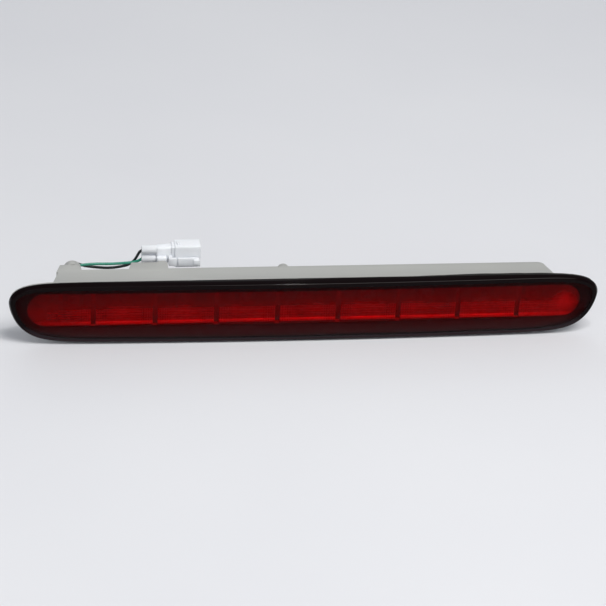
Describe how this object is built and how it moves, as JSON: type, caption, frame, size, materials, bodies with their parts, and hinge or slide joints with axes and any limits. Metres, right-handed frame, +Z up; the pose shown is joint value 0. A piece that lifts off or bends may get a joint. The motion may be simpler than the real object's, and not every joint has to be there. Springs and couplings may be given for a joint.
{
  "type": "third brake light",
  "caption": "Long centre high-mounted stop lamp: red lens over a row of lit cells, grey housing with mounting studs, two-wire lead and clipped connector.",
  "frame": {"origin": "midway between the two mounting studs, on the housing's back face", "axes": "+X along the lamp to the right as seen from behind the vehicle, +Y forwards into the vehicle along the studs, +Z up"},
  "size_m": [0.4, 0.059, 0.0502],
  "materials": {
    "housing_abs": "satin moulded ABS",
    "lens_pmma": "clear red acrylic, polished",
    "mask_black": "black printed border",
    "sealant_black": "cured black sealant",
    "optic_clear": "clear fluted acrylic",
    "reflector_metallised": "vacuum-metallised ABS",
    "board_fr4": "green solder mask",
    "led_epoxy": "tinted clear epoxy",
    "resistor_body": "lacquered",
    "diode_body": "moulded epoxy",
    "solder": "bright tin alloy",
    "zinc_steel": "zinc plated",
    "gasket_foam": "closed-cell foam",
    "rubber_black": "moulded EPDM",
    "wire_black": "PVC insulation",
    "wire_green": "PVC insulation",
    "nylon_white": "natural nylon, slightly translucent",
    "tinned_brass": "tin plated",
    "silicone_blue": "silicone"
  },
  "bodies": {
    "lamp": {"housing": "housing_abs", "outer_lens": "lens_pmma", "lens_mask": "mask_black", "lens_sealant": "sealant_black", "inner_optic": "optic_clear", "reflector": "reflector_metallised", "circuit_board": "board_fr4", "leds": "led_epoxy", "resistors": "resistor_body", "polarity_diode": "diode_body", "solder_joints": "solder", "board_screws": "zinc_steel", "panel_gasket": "gasket_foam", "mounting_studs": "zinc_steel", "breather_cap": "rubber_black", "wire_grommet": "rubber_black", "lead_black": "wire_black", "lead_green": "wire_green", "connector_shell": "nylon_white", "connector_pins": "tinned_brass", "wire_seals": "silicone_blue"},
    "latch": {"connector_latch": "nylon_white"},
    "terminal_lock": {"terminal_lock": "nylon_white"}
  },
  "joints": [
    {"name": "latch_flex", "type": "hinge", "parent": "lamp", "child": "latch", "pos_m": [-0.0845, 0.01155, 0.0151], "axis": [0, 0, 1], "range_deg": [0, 6], "stiffness_Nm_per_rad": 0.02},
    {"name": "terminal_lock_slide", "type": "slide", "parent": "lamp", "child": "terminal_lock", "axis": [0, 1, 0], "range_m": [0, 0.0012]}
  ]
}
